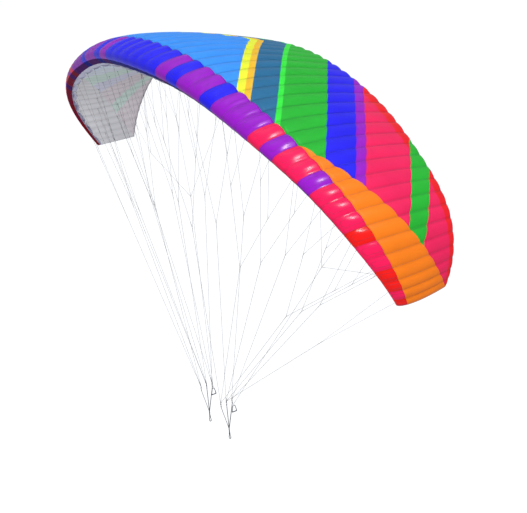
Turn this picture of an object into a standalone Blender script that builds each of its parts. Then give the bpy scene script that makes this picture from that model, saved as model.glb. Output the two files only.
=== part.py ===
"""Paraglider wing: an inflated ram-air canopy of 52 cells with its ribs,
line cascades, maillons, risers and brake handles.

Metres, +Z up. The nose faces -Y, the span lies along X, and the origin is
midway between the two riser loops that the wing hangs from.
"""
import math

import bmesh
import bpy
import numpy as np
from mathutils import Vector

# ---- canopy planform and arc -------------------------------------------------
FLAT_SPAN = 11.40            # span of the canopy laid out flat
CELLS_A_SIDE = 26
CANOPY_HEIGHT = 6.434        # nose of the centre rib above the riser loops
NOSE_SETBACK = -0.842        # Y of the nose of the centre rib
RIG_ANGLE = -0.099           # chord line against the horizontal, radians
TIP_TWIST = 0.072            # added to it toward the tip
KNOTS = (0.0, 0.25, 0.5, 0.7, 0.85, 1.0)             # share of the half span
CHORD = (2.672, 2.492, 2.210, 1.814, 1.455, 0.756)   # at those knots
SWEEP = (0.0, 0.069, 0.214, 0.413, 0.667, 1.126)     # nose set back by this
ARC_TURN = (0.573, 0.995, 0.580, 1.913, 4.184, 5.90)  # radians a half span
RIB_KNOTS = (0.0, 0.2, 0.4, 0.6, 0.8, 1.0)           # share of the rib count
CELL_WIDTH = (1.0, 0.942, 0.872, 0.742, 0.607, 0.363)  # against the centre cell

# ---- rib section, in shares of the chord ------------------------------------
THICKNESS = 0.163
SECTION_FORM = (0.2969, -0.1260, -0.3516, 0.2843, -0.1036)   # of root x, x, x2, x3, x4
CHIN = {"depth": 0.24, "place": 0.07, "width": 0.05}   # a deeper belly behind the nose
LIP = 0.050                  # rear edge of the nose lip, on the underside
CREASE = 0.020               # where the nose panels turn under
NOSE_SEAM = 0.1615           # rear edge of the nose panels, on top
MID_SEAM = 0.50              # where the front and rear sails join
MOUTH_DEPTH = 0.042          # how far an intake mouth cuts into the lower sail
TRAILING_HALF = 0.0024       # half thickness kept at the trailing edge, metres
UPPER_BULGE = 0.14           # ballooning of a cell, in cell widths
LOWER_BULGE = 0.07
LIP_BULGE = 0.012            # it grows from this over the nose
REAR_BULGE = 0.07            # both sails rise by this together at the rear edge
REAR_START = 0.6             # station where that begins
NOSE_STATIONS = (-LIP, -CREASE, 0.0, 0.010, 0.040, 0.090, NOSE_SEAM)
UPPER_STATIONS = (NOSE_SEAM, 0.26, 0.38, MID_SEAM, 0.67, 0.84, 1.0)
LOWER_STATIONS = (0.12, 0.28, MID_SEAM, 0.75, 1.0)
SECTIONS = {"left_tip": (-26, -16), "left": (-16, -6), "centre": (-6, 6), "right": (6, 16),
            "right_tip": (16, 26)}     # ribs between which the front sails are sewn

# ---- cloth and plates --------------------------------------------------------
CLOTH = 0.002                # thickness of a sail's solid
SEAM_GAP = 0.0008            # between two sails at a seam
PIECE_GAP = 0.0003           # between other pieces that touch
RIB_INSET = 0.0028
RIB_PLATE = 0.002
WELD = 0.00005               # points closer than this are one
RIB_END = 0.86               # where a rib stops between its last two stations
PORT_STATIONS = (0.27, 0.47)  # centres of the cross ports
PORT_SIZE = (0.050, 0.42)    # half length in chords, half height in rib heights
PORT_SIDES = 6

# ---- lines ---------------------------------------------------------------------
ROWS = {"a": 0.085, "b": 0.32, "c": 0.60}            # attachment stations
MAIN_SHARE = 0.60            # of the way from the riser to the sail
MID_SHARE = 0.83
MAIN_DIA, MID_DIA, UPPER_DIA = 0.0025, 0.0019, 0.0015
FAN_RIBS = ((0, 2, 4, 6), (8, 10, 12, 14), (16, 18, 20, 22))
TIP_RIBS = (24, 26)
TIP_STATION = 0.30
BRAKE_RIBS = ((4, 8), (12, 16), (20, 24))
BRAKE_STATION = 0.985
LINE_GAP = 0.0005            # between a line's end and the sail
CENTRE_SHIFT = 0.0025        # of the centre rib's lines, each to its own side
EYE_RISE = 0.010             # from an eye to where its lines part
KNOT_RISE = 0.012            # from a knot to where its lines part

# ---- risers ---------------------------------------------------------------------
LOOP_X = 0.338               # riser loops either side of the centre
WEB_WIDTH = 0.018
WEB = 0.003                  # thickness of one layer of webbing
HANG_LOOP = {"half": 0.013, "height": 0.046, "corner": 0.0075, "wall": 0.0035, "outer_corner": 0.009}
TRUNK = {"half": 0.005, "foot": 0.062, "top": 0.200}    # the layers sewn together above it
LEG_SPREAD = {"a": -0.105, "b": 0.0, "c": 0.105}     # Y of the legs' tops
RISER_TOP = 0.660            # height of the legs' top loops
LEG_LOOP = {"room": 0.0027, "hole": 0.014, "height": 0.020, "corner": 0.003, "sewn": 0.006}
MAILLON = {"width": 0.034, "height": 0.042, "bar": 0.004, "corner": 0.006}
EYE = {"width": 0.008, "outer": 0.013, "hole": 0.0075}     # of a line, round its bar
HANDLE = {"width": 0.105, "height": 0.125, "top_width": 0.046, "web": 0.016, "side": 0.009,
          "bar": 0.005, "corner": 0.020, "small_corner": 0.006, "depth": 0.004,
          "y": 0.125, "top": 0.600}

MATERIALS = {
    "upper_sail": ("#3F8FF0", 0.45, 0.0),
    "nose_cloth": ("#8A2BD2", 0.35, 0.0),
    "lower_sail": ("#B9C2CC", 0.55, 0.0),
    "rib_cloth": ("#E4E8EC", 0.6, 0.0),
    "line": ("#4A5663", 0.6, 0.0),
    "webbing": ("#2B3138", 0.75, 0.0),
    "steel": ("#C9CDD2", 0.25, 1.0),
    "handle": ("#30363D", 0.7, 0.0),
}


def linear(hex_code):
    parts = [int(hex_code[i:i + 2], 16) / 255 for i in (1, 3, 5)]
    return [c / 12.92 if c <= 0.04045 else ((c + 0.055) / 1.055) ** 2.4 for c in parts] + [1.0]


def make_material(slot):
    found = bpy.data.materials.get(slot)
    if found:
        return found
    colour, roughness, metallic = MATERIALS[slot]
    mat = bpy.data.materials.new(slot)
    mat.use_nodes = True
    shader = mat.node_tree.nodes["Principled BSDF"]
    shader.inputs["Base Color"].default_value = linear(colour)
    shader.inputs["Roughness"].default_value = roughness
    shader.inputs["Metallic"].default_value = metallic
    mat.diffuse_color = linear(colour)
    return mat


# ---- the wing's own geometry ------------------------------------------------------
def spline(knots, values):
    """Second derivatives of a cubic through the knots: level at 0, free at 1."""
    n = len(knots)
    rows, right = np.zeros((n, n)), np.zeros(n)
    step = np.diff(knots)
    slope = np.diff(values) / step
    rows[0, 0], rows[0, 1], right[0] = 2 * step[0], step[0], 6 * slope[0]
    rows[-1, -1] = 1.0
    for i in range(1, n - 1):
        rows[i, i - 1:i + 2] = step[i - 1], 2 * (step[i - 1] + step[i]), step[i]
        right[i] = 6 * (slope[i] - slope[i - 1])
    return np.linalg.solve(rows, right)


def along(knots, values, x):
    knots, values = np.array(knots), np.array(values)
    bend = spline(knots, values)
    x = np.asarray(x, float)
    i = np.clip(np.searchsorted(knots, x) - 1, 0, len(knots) - 2)
    h = knots[i + 1] - knots[i]
    a, b = (knots[i + 1] - x) / h, (x - knots[i]) / h
    return (a * values[i] + b * values[i + 1]
            + ((a ** 3 - a) * bend[i] + (b ** 3 - b) * bend[i + 1]) * h * h / 6)


STEPS = 400                  # of the sums along the half span
GRID = np.linspace(0.0, 1.0, STEPS + 1)


def running_sum(values):
    return np.concatenate([[0.0], np.cumsum((values[1:] + values[:-1]) / 2 / STEPS)])


TURN = running_sum(along(KNOTS, ARC_TURN, GRID))
ARC_X = running_sum(np.cos(TURN)) * FLAT_SPAN / 2
ARC_DROP = running_sum(np.sin(TURN)) * FLAT_SPAN / 2
RIB_SHARE = running_sum(along(RIB_KNOTS, CELL_WIDTH, GRID))
RIB_SHARE /= RIB_SHARE[-1]


def span_share(rib):
    return float(np.interp(abs(rib) / CELLS_A_SIDE, GRID, RIB_SHARE))


def cell_width(rib):
    low = min(math.floor(abs(rib)), CELLS_A_SIDE - 1)
    return (span_share(low + 1) - span_share(low)) * FLAT_SPAN / 2


def rib_frame(rib):
    """Nose point, chord direction, outward normal and chord of one rib."""
    share, side = span_share(rib), math.copysign(1.0, rib)
    roll = float(np.interp(share, GRID, TURN))
    out = Vector((math.sin(roll) * side, 0.0, math.cos(roll)))
    back = Vector((0.0, 1.0, 0.0))
    angle = RIG_ANGLE + TIP_TWIST * share ** 2
    chord_dir = back * math.cos(angle) + out * math.sin(angle)
    normal = out * math.cos(angle) - back * math.sin(angle)
    nose = Vector((float(np.interp(share, GRID, ARC_X)) * side,
                   NOSE_SETBACK + float(along(KNOTS, SWEEP, share)),
                   CANOPY_HEIGHT - float(np.interp(share, GRID, ARC_DROP))))
    return nose, chord_dir, normal, float(along(KNOTS, CHORD, share))


def half_depth(station, chord):
    x = abs(station)
    root, one, two, three, four = SECTION_FORM
    form = root * math.sqrt(x) + one * x + two * x ** 2 + three * x ** 3 + four * x ** 4
    return 5 * THICKNESS * form * chord + TRAILING_HALF * x


def section(station, chord):
    """(back, up) of the outline: stations below 0 run along the underside."""
    x = abs(station)
    if station > 0:
        return x * chord, half_depth(x, chord)
    chin = CHIN["depth"] * math.exp(-((x - CHIN["place"]) / CHIN["width"]) ** 2)
    return x * chord, -half_depth(x, chord) * (1 + chin)


def section_normal(station, chord):
    if station == 0.0:
        return -1.0, 0.0
    step = min(0.002, abs(station) / 4)
    one, two = section(station - step, chord), section(min(station + step, 1.0), chord)
    back, up = two[0] - one[0], two[1] - one[1]
    size = math.hypot(back, up)
    return -up / size, back / size


def on_wing(rib, station, lift=0.0):
    """A point of the outline at a rib, or between two, lifted off it."""
    nose, chord_dir, normal, chord = rib_frame(rib)
    back, up = section(station, chord)
    away = section_normal(station, chord)
    return nose + chord_dir * (back + away[0] * lift) + normal * (up + away[1] * lift)


def balloon(rib, station):
    """How far a cell swells outward there; at the rear both sails rise together."""
    place = abs(rib) - math.floor(abs(rib))
    if station < -LIP:
        amount = LOWER_BULGE
    else:
        turn = math.sqrt(min(1.0, max(0.0, station) / NOSE_SEAM))
        amount = LIP_BULGE + (UPPER_BULGE - LIP_BULGE) * turn ** 2 * (3 - 2 * turn)
    rear = max(0.0, abs(station) - REAR_START) / (1 - REAR_START)
    amount += (math.copysign(REAR_BULGE, station) - amount) * rear
    return amount * cell_width(rib) * 4 * place * (1 - place)


# ---- makers ------------------------------------------------------------------------
for old in list(bpy.data.objects):
    bpy.data.objects.remove(old, do_unlink=True)
wing = bpy.data.collections.new("paraglider_wing")
bpy.context.scene.collection.children.link(wing)


def add_object(name, mesh, slot):
    mesh.materials.clear()
    mesh.materials.append(make_material(slot))
    obj = bpy.data.objects.new(name, mesh)
    wing.objects.link(obj)
    return obj


def face_outward(bm):
    bmesh.ops.recalc_face_normals(bm, faces=bm.faces)
    if bm.calc_volume(signed=True) < 0:
        bmesh.ops.reverse_faces(bm, faces=bm.faces)


def loft(name, slot, columns, thickness):
    """An open sheet through columns of points, given its thickness inward."""
    bm = bmesh.new()
    verts = [[bm.verts.new(p) for p in column] for column in columns]
    for left, right in zip(verts, verts[1:]):
        for i in range(len(left) - 1):
            bm.faces.new((left[i], right[i], right[i + 1], left[i + 1]))
    mesh = bpy.data.meshes.new(name)
    bm.to_mesh(mesh)
    bm.free()
    obj = add_object(name, mesh, slot)
    skin = obj.modifiers.new("cloth", "SOLIDIFY")
    skin.thickness = thickness
    skin.offset = -1.0
    skin.use_even_offset = True
    return obj


def flat_plate(name, slot, outline, holes, thickness, place):
    """A flat outline with holes, extruded both ways, then set in the world."""
    curve = bpy.data.curves.new(name, "CURVE")
    curve.dimensions = "2D"
    curve.fill_mode = "BOTH"
    curve.extrude = thickness / 2
    for ring in [outline] + holes:
        line = curve.splines.new("POLY")
        line.points.add(len(ring) - 1)
        for point, (x, y) in zip(line.points, ring):
            point.co = (x, y, 0.0, 1.0)
        line.use_cyclic_u = True
    guide = bpy.data.objects.new(name + "_outline", curve)
    wing.objects.link(guide)
    mesh = bpy.data.meshes.new_from_object(
        guide.evaluated_get(bpy.context.evaluated_depsgraph_get()))
    bpy.data.objects.remove(guide, do_unlink=True)
    mesh.name = name
    bm = bmesh.new()
    bm.from_mesh(mesh)
    bmesh.ops.remove_doubles(bm, verts=bm.verts, dist=WELD)
    for vert in bm.verts:
        vert.co = place(*vert.co)
    face_outward(bm)
    bm.to_mesh(mesh)
    bm.free()
    return add_object(name, mesh, slot)


# ---- the sails ------------------------------------------------------------------------
def columns_between(first, last):
    """Every half cell between two ribs, just short of them where sails meet."""
    ribs = [i / 2 for i in range(2 * first, 2 * last + 1)]
    if abs(first) < CELLS_A_SIDE:
        ribs[0] += SEAM_GAP / 2 / cell_width(first)
    if abs(last) < CELLS_A_SIDE:
        ribs[-1] -= SEAM_GAP / 2 / cell_width(last)
    return ribs


def sail(name, slot, ribs, stations, front_gap=0.0):
    """A sail from its first station round or back to its last."""
    columns = []
    for rib in ribs:
        column = (stations[0] + front_gap / rib_frame(rib)[3],) + tuple(stations[1:])
        columns.append([on_wing(rib, s, balloon(rib, s)) for s in column])
    loft(name, slot, columns, CLOTH)


def front_edge(rib, chord):
    """Station of the lower sail's front edge: level with the lip at the even
    ribs, and drawn back between them to leave an intake mouth over two cells."""
    place = (round(2 * abs(rib)) / 2 % 2) / 2
    mouth = MOUTH_DEPTH * math.sqrt(max(0.0, 1 - (2 * place - 1) ** 2))
    return LIP + mouth + 2 * SEAM_GAP / chord


def lower_sail(name, ribs, stations, mouths=False):
    """A sail on the underside, laid from its rear edge forward to face down."""
    columns = []
    for rib in ribs:
        chord = rib_frame(rib)[3]
        front = front_edge(rib, chord) if mouths else stations[0] + SEAM_GAP / chord
        column = (front,) + tuple(stations[1:])
        columns.append([on_wing(rib, -s, balloon(rib, -s)) for s in reversed(column)])
    loft(name, "lower_sail", columns, CLOTH)


def split_at(stations, seam):
    cut = stations.index(seam)
    return stations[:cut + 1], stations[cut:]


whole_span = columns_between(-CELLS_A_SIDE, CELLS_A_SIDE)
upper_front, upper_rear = split_at(UPPER_STATIONS, MID_SEAM)
lower_front, lower_rear = split_at(LOWER_STATIONS, MID_SEAM)
sail("upper_sail_front", "upper_sail", whole_span, upper_front, SEAM_GAP)
sail("upper_sail_rear", "upper_sail", whole_span, upper_rear, SEAM_GAP)
lower_sail("lower_sail_rear", whole_span, lower_rear)
for place, (first, last) in SECTIONS.items():
    ribs = columns_between(first, last)
    sail("nose_panels_" + place, "nose_cloth", ribs, NOSE_STATIONS)
    lower_sail("lower_sail_" + place, ribs, (LIP,) + lower_front, mouths=True)

# ---- ribs ----------------------------------------------------------------------------


def mitred(points, inset):
    """The polyline moved to its right by the inset, corners mitred."""
    moved = []
    for i, (x, y) in enumerate(points):
        sides = []
        for a, b in ((i - 1, i), (i, i + 1)):
            if 0 <= a and b < len(points):
                dx, dy = points[b][0] - points[a][0], points[b][1] - points[a][1]
                size = math.hypot(dx, dy)
                sides.append((dy / size, -dx / size))
        nx, ny = sum(s[0] for s in sides), sum(s[1] for s in sides)
        size = math.hypot(nx, ny)
        nx, ny = nx / size, ny / size
        reach = inset / (nx * sides[0][0] + ny * sides[0][1])
        moved.append((x + nx * reach, y + ny * reach))
    return moved


def part_way(a, b, share):
    return a[0] + (b[0] - a[0]) * share, a[1] + (b[1] - a[1]) * share


def rib_outline(chord):
    stations = ([-s for s in reversed(LOWER_STATIONS)] + list(NOSE_STATIONS)
                + list(UPPER_STATIONS[1:]))
    ring = mitred([section(s, chord) for s in stations], RIB_INSET)
    ring[0] = part_way(ring[1], ring[0], RIB_END)
    ring[-1] = part_way(ring[-2], ring[-1], RIB_END)
    return ring


def port(centre, chord):
    half_length, half_height = PORT_SIZE[0] * chord, PORT_SIZE[1] * half_depth(centre, chord)
    return [(centre * chord + half_length * math.cos(a), half_height * math.sin(a))
            for a in [math.tau * k / PORT_SIDES for k in range(PORT_SIDES)]]


for number in range(-CELLS_A_SIDE, CELLS_A_SIDE + 1, 2):
    nose, chord_dir, normal, chord = rib_frame(number)
    across = chord_dir.cross(normal)
    side = "centre" if number == 0 else ("right_%02d" if number > 0 else "left_%02d") % abs(number)
    holes = [] if abs(number) == CELLS_A_SIDE else [port(c, chord) for c in PORT_STATIONS]
    flat_plate("rib_" + side, "rib_cloth", rib_outline(chord), holes, RIB_PLATE,
               lambda x, y, z: nose + chord_dir * x + normal * y + across * z)

# ---- line trees ------------------------------------------------------------------------


def ring_of(centre, spread, depth, half_spread, half_depth_):
    return [centre - spread * half_spread - depth * half_depth_,
            centre + spread * half_spread - depth * half_depth_,
            centre + spread * half_spread + depth * half_depth_,
            centre - spread * half_spread + depth * half_depth_]


class LineTree:
    """One closed body: an eye for the maillon and branches that part side by side."""

    def __init__(self):
        self.bm = bmesh.new()

    def verts(self, points):
        return [self.bm.verts.new(p) for p in points]

    def tube(self, low, high):
        for i in range(4):
            k = (i + 1) % 4
            self.bm.faces.new((low[i], low[k], high[k], high[i]))

    def eye(self, base, bar_axis):
        """A square ring round a bar along X or Y; its top face is left open."""
        width = EYE["width"]
        other = 1 - bar_axis

        def corner(along_bar, off_bar, up):
            point = base.copy()
            point[bar_axis] += along_bar * width / 2
            point[other] += off_bar
            point[2] += up
            return self.bm.verts.new(point)

        rings = [[[corner(end, size / 2 * sb, size / 2 * su) for end in (-1, 1)]
                  for sb, su in ((-1, -1), (1, -1), (1, 1), (-1, 1))]
                 for size in (EYE["outer"], EYE["hole"])]
        out, inn = rings
        for i in range(4):
            k = (i + 1) % 4
            self.bm.faces.new((inn[i][0], inn[i][1], inn[k][1], inn[k][0]))
            for end in (0, 1):
                self.bm.faces.new((out[i][end], out[k][end], inn[k][end], inn[i][end]))
            if i != 2:
                self.bm.faces.new((out[i][1], out[i][0], out[k][0], out[k][1]))
        if bar_axis == 0:
            return [out[3][0], out[3][1], out[2][1], out[2][0]]
        return [out[3][0], out[2][0], out[2][1], out[3][1]]

    def split(self, ring, count, width, rise):
        """From one ring to several side by side, above it."""
        left = (ring[0].co + ring[3].co) / 2
        right = (ring[1].co + ring[2].co) / 2
        front = (ring[0].co + ring[1].co) / 2
        rear = (ring[2].co + ring[3].co) / 2
        centre = (left + right) / 2
        spread, depth = (right - left).normalized(), (rear - front).normalized()
        fronts, rears = [], []
        for i in range(count + 1):
            x = (i - count / 2) * width
            top = centre + rise + spread * x
            fronts.append(self.bm.verts.new(top - depth * width / 2))
            rears.append(self.bm.verts.new(top + depth * width / 2))
        self.bm.faces.new([ring[0], ring[1]] + fronts[::-1])
        self.bm.faces.new([ring[2], ring[3]] + rears)
        self.bm.faces.new((ring[3], ring[0], fronts[0], rears[0]))
        self.bm.faces.new((ring[1], ring[2], rears[-1], fronts[-1]))
        return [[fronts[i], fronts[i + 1], rears[i + 1], rears[i]] for i in range(count)]

    def run_to(self, ring, point, direction, diameter):
        spread = (ring[1].co - ring[0].co).normalized()
        depth = (ring[3].co - ring[0].co).normalized()
        depth = (depth - direction * depth.dot(direction)).normalized()
        across = depth.cross(direction).normalized()
        spread = across if across.dot(spread) > 0 else -across
        end = self.verts(ring_of(point, spread, depth, diameter / 2, diameter / 2))
        self.tube(ring, end)
        return end

    def finish(self, name, slot):
        face_outward(self.bm)
        mesh = bpy.data.meshes.new(name)
        self.bm.to_mesh(mesh)
        self.bm.free()
        return add_object(name, mesh, slot)


def anchor(rib, station, side):
    """Where a line meets the sail's underside, and the way out of the sail there."""
    nose, chord_dir, normal, chord = rib_frame(rib)
    low = max([front_edge(rib, chord)] + [s for s in LOWER_STATIONS if s <= station])
    high = min(s for s in LOWER_STATIONS if s > station)
    a, b = section(-low, chord), section(-high, chord)
    back, up = part_way(a, b, (station - low) / (high - low))
    size = math.hypot(b[0] - a[0], b[1] - a[1])
    away = chord_dir * ((b[1] - a[1]) / size) - normal * ((b[0] - a[0]) / size)
    point = nose + chord_dir * back + normal * up + away * LINE_GAP
    if rib == 0:                      # the lines of both sides meet at the centre rib
        point += Vector((side * CENTRE_SHIFT, 0, 0)) + away * 2 * LINE_GAP
    return point, away


def mean(points):
    return sum(points, Vector()) / len(points)


def tops_of(item):
    return [item] if isinstance(item[0], Vector) else [t for part in item for t in tops_of(part)]


def branch(tree, start, item, level, base, origin):
    """One line from its ring: to the sail, or to a knot where it parts again."""
    if isinstance(item[0], Vector):
        point, away = item
        spread = (start[1].co - start[0].co).normalized()
        depth = away.cross(spread).normalized()
        spread = depth.cross(away).normalized()
        if spread.dot(start[1].co - start[0].co) < 0:
            spread = -spread
        if depth.dot(start[3].co - start[0].co) < 0:
            depth = -depth
        end = tree.verts(ring_of(point, spread, depth, UPPER_DIA / 2, UPPER_DIA / 2))
        tree.tube(start, end)
        tree.bm.faces.new(end)
        return
    goal = mean([top[0] for top in tops_of(item)])
    knot = base + (goal - base) * (MAIN_SHARE, MID_SHARE)[level]
    direction = (knot - origin).normalized()
    ring = tree.run_to(start, knot, direction, (MAIN_DIA, MID_DIA)[level])
    width = UPPER_DIA if isinstance(item[0][0], Vector) else MID_DIA
    for part, sub in zip(tree.split(ring, len(item), width, direction * KNOT_RISE), item):
        branch(tree, part, sub, level + 1, base, knot)


def grow(name, groups, eye_centre, bar_axis):
    tree = LineTree()
    ring = tree.eye(eye_centre, bar_axis)
    parts = tree.split(ring, len(groups), MAIN_DIA, Vector((0, 0, EYE_RISE)))
    for part, group in zip(parts, groups):
        branch(tree, part, group, 0, eye_centre, eye_centre)
    return tree.finish(name, "line")


def ordered(items, side):
    return list(items) if side > 0 else list(reversed(items))


MAILLON_LOW = RISER_TOP - WEB - PIECE_GAP - MAILLON["bar"]
EYE_HEIGHT = MAILLON_LOW + MAILLON["height"] - MAILLON["bar"] - LINE_GAP + EYE["hole"] / 2
HANDLE_X = LOOP_X + WEB_WIDTH / 2 + PIECE_GAP + HANDLE["depth"] / 2
HANDLE_EYE = HANDLE["top"] - HANDLE["bar"] - LINE_GAP + EYE["hole"] / 2


def row_groups(row, station, side):
    """A row's fans from left to right, each as two pairs of ends at the sail."""
    groups = []
    for fan in ordered(FAN_RIBS, side):
        ends = [anchor(side * rib, station, side) for rib in ordered(fan, side)]
        groups.append([ends[:2], ends[2:]])
    if row == "b":
        groups.append([anchor(side * rib, TIP_STATION, side) for rib in ordered(TIP_RIBS, side)])
        groups = groups if side > 0 else groups[-1:] + groups[:-1]
    return groups


def chamfered(half, low, high, corner):
    """An upright rectangle with cut corners, centred on 0."""
    return [(-half + corner, low), (half - corner, low), (half, low + corner), (half, high - corner),
            (half - corner, high), (-half + corner, high), (-half, high - corner), (-half, low + corner)]


def maillon(name, x, y):
    half, bar, corner = MAILLON["width"] / 2, MAILLON["bar"], MAILLON["corner"]
    flat_plate(name, "steel", chamfered(half, 0, MAILLON["height"], corner),
               [chamfered(half - bar, bar, MAILLON["height"] - bar, corner - bar / 2)], bar,
               lambda a, z, t: Vector((x + a, y + t, MAILLON_LOW + z)))


def riser(name, x):
    """The hang loop and the trunk above it."""
    wide = HANG_LOOP["half"] + HANG_LOOP["wall"]
    foot, corner = -HANG_LOOP["wall"], HANG_LOOP["outer_corner"]
    half = [(wide - corner, foot), (wide, foot + corner), (wide, HANG_LOOP["height"]),
            (TRUNK["half"], TRUNK["foot"]), (TRUNK["half"], TRUNK["top"])]
    hole = chamfered(HANG_LOOP["half"], 0, HANG_LOOP["height"], HANG_LOOP["corner"])
    flat_plate(name, "webbing", half + [(-y, z) for y, z in reversed(half)], [hole], WEB_WIDTH,
               lambda y, z, t: Vector((x + t, y, z)))


def riser_legs(name, x):
    """The three legs, sewn together at the foot, to their loops round the maillons."""
    top, side, room, half = RISER_TOP, WEB / 2, LEG_LOOP["room"], TRUNK["half"]
    outer, corner = room + WEB, LEG_LOOP["corner"]
    neck, shoulder = top - LEG_LOOP["height"], top - LEG_LOOP["hole"]
    foot = TRUNK["top"] + PIECE_GAP
    crotch = foot + LEG_LOOP["sewn"]
    outline, holes = [(-half, foot), (half, foot), (half, crotch)], []
    for y in sorted(LEG_SPREAD.values(), reverse=True):
        outline += [(y + side, neck), (y + outer, shoulder), (y + outer, top - corner),
                    (y + corner, top), (y - corner, top), (y - outer, top - corner),
                    (y - outer, shoulder), (y - side, neck)]
        if y > min(LEG_SPREAD.values()):
            outline.append((half / 3 if y > 0 else -half / 3, crotch))
        holes.append([(y - room, shoulder), (y + room, shoulder),
                      (y + room, top - WEB), (y - room, top - WEB)])
    outline.append((-half, crotch))
    flat_plate(name, "webbing", outline, holes, WEB_WIDTH, lambda a, z, t: Vector((x + t, a, z)))


def brake_handle(name, x):
    """A ring of stiff webbing, wide below for the hand, parked by the rear leg."""
    top, wide, narrow = HANDLE["top"], HANDLE["width"] / 2, HANDLE["top_width"] / 2
    low, web, bar = top - HANDLE["height"], HANDLE["web"], HANDLE["bar"]
    corner, small, side = HANDLE["corner"], HANDLE["small_corner"], HANDLE["side"]
    outer = [(wide - corner, low), (wide, low + corner), (narrow, top - small), (narrow - small, top)]
    inner = [(wide - web - small, low + web), (wide - web, low + web + small),
             (narrow - side, top - bar)]
    rings = [half + [(-a, z) for a, z in reversed(half)] for half in (outer, inner)]
    flat_plate(name, "handle", rings[0], rings[1:], HANDLE["depth"],
               lambda a, z, t: Vector((x + t, HANDLE["y"] + a, z)))


for side, word in ((-1, "left"), (1, "right")):
    for row, station in ROWS.items():
        y = LEG_SPREAD[row]
        grow("lines_%s_%s" % (row, word), row_groups(row, station, side),
             Vector((side * LOOP_X, y, EYE_HEIGHT)), 0)
        maillon("maillon_%s_%s" % (row, word), side * LOOP_X, y)
    riser("riser_" + word, side * LOOP_X)
    riser_legs("riser_legs_" + word, side * LOOP_X)
    pairs = [[anchor(side * rib, BRAKE_STATION, side) for rib in ordered(pair, side)]
             for pair in ordered(BRAKE_RIBS, side)]
    grow("lines_brake_" + word, [pairs], Vector((side * HANDLE_X, HANDLE["y"], HANDLE_EYE)), 1)
    brake_handle("brake_handle_" + word, side * HANDLE_X)
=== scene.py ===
import math
from functools import partial

import bmesh
import bpy
import numpy as np
from mathutils import Matrix, Vector


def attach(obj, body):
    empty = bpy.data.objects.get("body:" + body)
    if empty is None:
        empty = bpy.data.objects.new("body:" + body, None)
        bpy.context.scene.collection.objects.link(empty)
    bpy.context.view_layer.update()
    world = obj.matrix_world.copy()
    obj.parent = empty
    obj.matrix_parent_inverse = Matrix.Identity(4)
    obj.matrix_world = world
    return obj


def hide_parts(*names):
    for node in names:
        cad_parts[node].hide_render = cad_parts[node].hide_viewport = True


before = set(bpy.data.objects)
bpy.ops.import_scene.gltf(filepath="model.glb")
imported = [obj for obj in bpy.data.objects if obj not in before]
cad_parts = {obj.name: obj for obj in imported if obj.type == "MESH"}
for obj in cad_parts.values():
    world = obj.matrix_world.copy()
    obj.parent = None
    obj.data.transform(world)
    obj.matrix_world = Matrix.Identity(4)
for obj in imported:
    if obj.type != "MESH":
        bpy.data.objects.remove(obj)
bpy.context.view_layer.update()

# the canopy's own rule, in metres, which the solids follow too
canopy = {
    "flatSpan": 11.40,  # laid out flat
    "cellsASide": 26,
    "height": 6.434,  # nose of the middle rib above the riser loops
    "noseSetback": -0.842,
    "rigAngle": -0.099,  # chord against the level, radians
    "tipTwist": 0.072,
    "knots": (0.0, 0.25, 0.5, 0.7, 0.85, 1.0),  # share of the half span
    "chord": (2.672, 2.492, 2.210, 1.814, 1.455, 0.756),
    "sweep": (0.0, 0.069, 0.214, 0.413, 0.667, 1.126),
    "arcTurn": (0.573, 0.995, 0.580, 1.913, 4.184, 5.90),  # radians a half span
    "ribKnots": (0.0, 0.2, 0.4, 0.6, 0.8, 1.0),  # share of the rib count
    "cellWidth": (1.0, 0.942, 0.872, 0.742, 0.607, 0.363),  # against the middle cell
    "thickness": 0.163,  # of the rib section, in chords
    "sectionForm": (0.2969, -0.1260, -0.3516, 0.2843, -0.1036),
    "chin": (0.24, 0.07, 0.05),  # extra belly behind the nose: depth, place, width
    "trailingHalf": 0.0024,
    "lip": 0.050,  # stations of the nose panels' edges
    "noseSeam": 0.1615,
    "mouthDepth": 0.042,
    "upperBulge": 0.14,  # billow of a cell, in cell widths
    "lowerBulge": 0.07,
    "lipBulge": 0.012,  # it grows from this over the nose
    "rearBulge": 0.07,  # both sails rise by this together at the rear edge
    "rearStart": 0.6,
    "clothThickness": 0.0009,
    "seamGap": 0.0008,
    "ribInset": 0.0028,
}
cells = canopy["cellsASide"]
halfSpan = canopy["flatSpan"] / 2


# small helpers
def linearColour(hexCode):
    parts = [int(hexCode[i:i + 2], 16) / 255 for i in (1, 3, 5)]
    return [c / 12.92 if c <= 0.04045 else ((c + 0.055) / 1.055) ** 2.4 for c in parts] + [1.0]


def addNode(tree, kind, values=None):
    # kind is a new node's type, or a node there is; sockets, and nodes for their first output,
    # are linked, values named as sockets are set there, and the rest on the node
    node = tree.nodes.new(kind) if isinstance(kind, str) else kind
    for key, value in (values or {}).items():
        source = value.outputs[0] if isinstance(value, bpy.types.Node) else value
        if isinstance(source, bpy.types.NodeSocket):
            tree.links.new(source, node.inputs[key])
        elif isinstance(key, int) or key in node.inputs:
            node.inputs[key].default_value = value
        else:
            setattr(node, key, value)
    return node


def startMaterial(name, colour, roughness, more=None):
    # more holds further sockets of the shader; add puts nodes in the material
    mat = bpy.data.materials.new(name)
    mat.use_nodes = True
    mat.diffuse_color = linearColour(colour)
    add = partial(addNode, mat.node_tree)
    shader = add(mat.node_tree.nodes["Principled BSDF"], {
        "Base Color": linearColour(colour), "Roughness": roughness, **(more or {})})
    return mat, add, shader


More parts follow.
